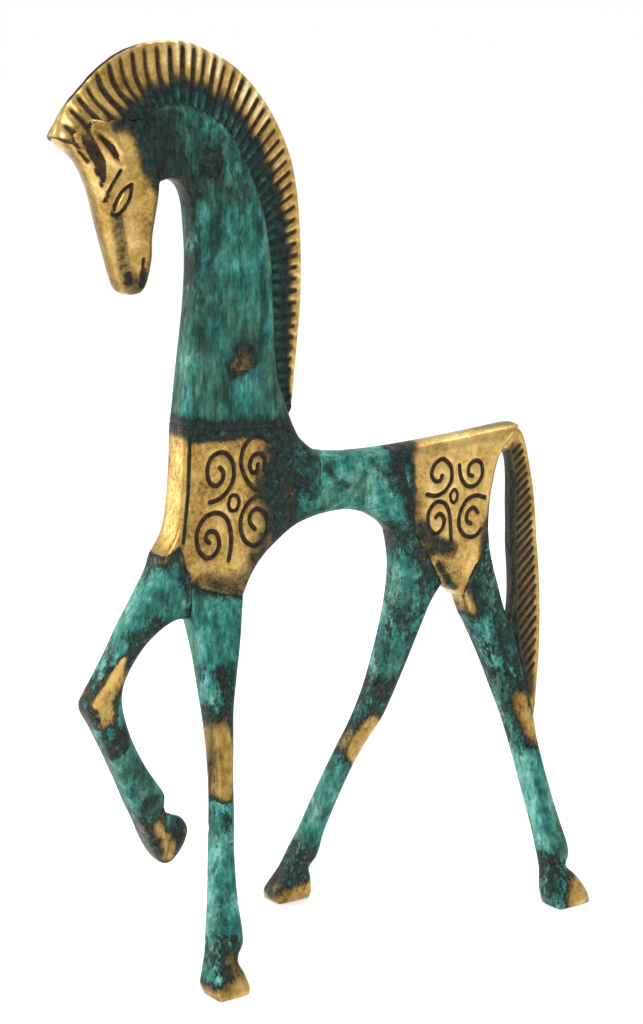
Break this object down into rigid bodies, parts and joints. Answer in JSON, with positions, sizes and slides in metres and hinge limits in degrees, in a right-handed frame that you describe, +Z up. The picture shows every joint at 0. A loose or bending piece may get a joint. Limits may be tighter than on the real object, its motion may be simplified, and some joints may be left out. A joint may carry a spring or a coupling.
{
  "type": "horse statuette",
  "caption": "Slender walking horse statuette with an arched, fluted mane, a lifted foreleg and engraved spirals, standing on three hooves.",
  "frame": {"origin": "on the ground under the middle of the statuette's bounding box", "axes": "+Z up, the horse faces -X, its left side faces -Y"},
  "size_m": [0.1401, 0.0532, 0.2212],
  "materials": {
    "polished_bronze": "relieved to bright metal, dark in the grooves",
    "green_bronze": "waxed green patina, mottled",
    "brown_bronze": "brown, filed flush"
  },
  "bodies": {
    "root": {"head": "polished_bronze", "neck": "green_bronze", "mane_comb": "polished_bronze", "forequarter": "polished_bronze", "barrel": "green_bronze", "hindquarter": "polished_bronze", "tail": "polished_bronze", "left_foreleg": "green_bronze", "right_foreleg": "green_bronze", "left_hind_leg": "green_bronze", "right_hind_leg": "green_bronze", "head_pin": "brown_bronze", "neck_key": "brown_bronze", "front_barrel_pin": "brown_bronze", "rear_barrel_pin": "brown_bronze", "left_foreleg_dowel": "brown_bronze", "right_foreleg_dowel": "brown_bronze", "left_hind_leg_dowel": "brown_bronze", "right_hind_leg_dowel": "brown_bronze"}
  },
  "joints": []
}
